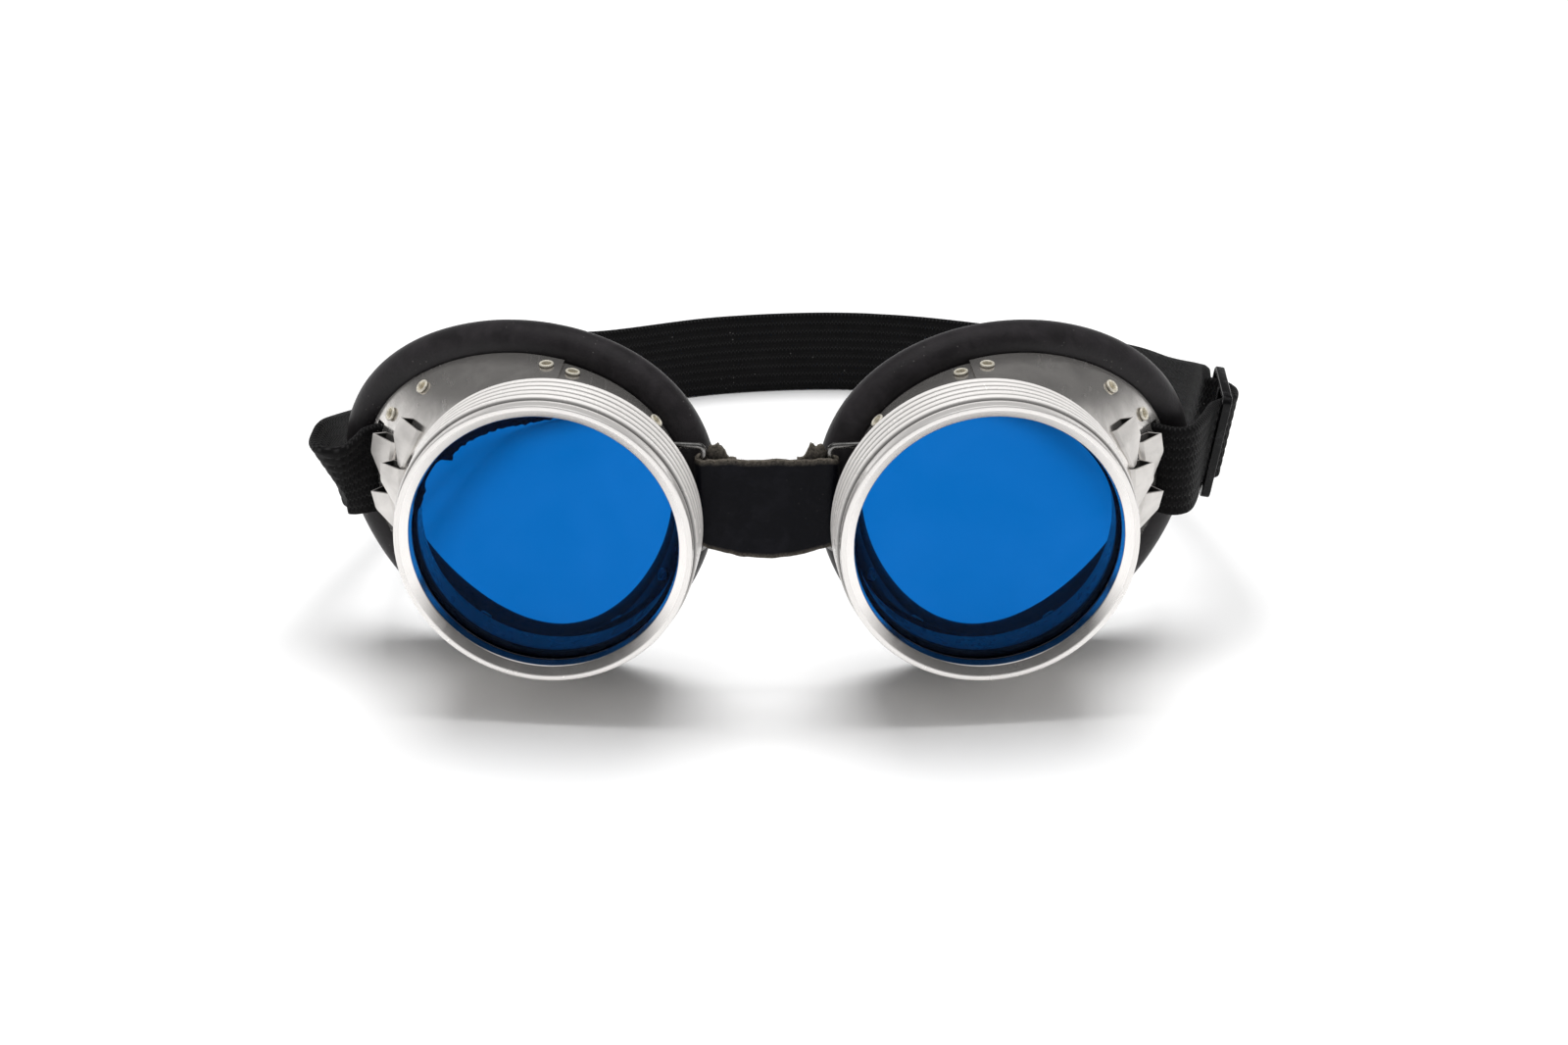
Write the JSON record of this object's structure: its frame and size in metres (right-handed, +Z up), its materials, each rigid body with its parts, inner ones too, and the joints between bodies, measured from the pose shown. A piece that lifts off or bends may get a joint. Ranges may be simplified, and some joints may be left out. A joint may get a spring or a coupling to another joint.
{
  "type": "welding goggles",
  "caption": "Round-lens welding goggles: bright sheet-metal eyecups with screw-on caps over blue glass, rubber face edging, a leather nose bridge and an elastic head strap with a slider.",
  "frame": {"origin": "Middle of the bounding box in X and Y, on the table the goggles lie on (z = 0).", "axes": "The lenses face -Y, +Z is up and +X is to the right as seen from the front; the strap's loop runs back along +Y."},
  "size_m": [0.1778, 0.1662, 0.0679],
  "materials": {
    "shell_metal": "bright rolled sheet, a little scuffed",
    "ring_metal": "satin turned metal",
    "cap_metal": "satin, worn and mottled",
    "blue_glass": "polished cobalt-blue filter glass",
    "gasket": "thin black packing ring",
    "edging_rubber": "matte black moulded rubber",
    "eyelet_brass": "dull nickelled brass",
    "wire_steel": "bright drawn wire",
    "bridge_leather": "blue-black grain with a raw grey-brown edge",
    "strap_elastic": "black ribbed woven elastic over rubber threads",
    "slider_metal": "black enamel"
  },
  "bodies": {
    "bridge": {"bridge": "bridge_leather", "strap": "strap_elastic"},
    "left_cup": {"left_shell": "shell_metal", "left_ring": "ring_metal", "left_edging": "edging_rubber", "left_rim_eyelets": "eyelet_brass", "left_seam_eyelets": "eyelet_brass", "left_wire": "wire_steel"},
    "right_cup": {"right_shell": "shell_metal", "right_ring": "ring_metal", "right_edging": "edging_rubber", "right_rim_eyelets": "eyelet_brass", "right_seam_eyelets": "eyelet_brass", "right_wire": "wire_steel"},
    "left_glass": {"left_lens": "blue_glass", "left_gasket": "gasket"},
    "right_glass": {"right_lens": "blue_glass", "right_gasket": "gasket"},
    "left_cap": {"left_cap": "cap_metal"},
    "right_cap": {"right_cap": "cap_metal"},
    "slider": {"slider": "slider_metal"}
  },
  "joints": [
    {"name": "left_cup_swing", "type": "hinge", "parent": "bridge", "child": "left_cup", "pos_m": [-0.01348, -0.06806, 0.04095], "axis": [0, 0, -1], "range_deg": [-30, 55], "deforming": ["strap"]},
    {"name": "left_glass_slide", "type": "slide", "parent": "left_cup", "child": "left_glass", "axis": [-0.1045, -0.9945, 0], "range_m": [0, 0.0058]},
    {"name": "left_cap_turn", "type": "hinge", "parent": "left_glass", "child": "left_cap", "pos_m": [-0.0427, -0.08027, 0.03685], "axis": [-0.1045, -0.9945, 0], "range_deg": [0, 1080]},
    {"name": "right_cup_swing", "type": "hinge", "parent": "bridge", "child": "right_cup", "pos_m": [0.00959, -0.06806, 0.04095], "axis": [0, 0, 1], "range_deg": [-30, 55], "deforming": ["strap"]},
    {"name": "right_glass_slide", "type": "slide", "parent": "right_cup", "child": "right_glass", "axis": [0.1045, -0.9945, 0], "range_m": [0, 0.0058]},
    {"name": "right_cap_turn", "type": "hinge", "parent": "right_glass", "child": "right_cap", "pos_m": [0.0388, -0.08027, 0.03685], "axis": [0.1045, -0.9945, 0], "range_deg": [0, 1080]},
    {"name": "slider_slide", "type": "slide", "parent": "right_cup", "child": "slider", "axis": [0, 1, 0], "range_m": [0, 0.01], "deforming": ["strap"]}
  ],
  "couplings": [
    {"joint": "left_glass_slide", "follows": "left_cap_turn", "m_per_rad": 0.00030239},
    {"joint": "right_glass_slide", "follows": "right_cap_turn", "m_per_rad": 0.00030239}
  ]
}
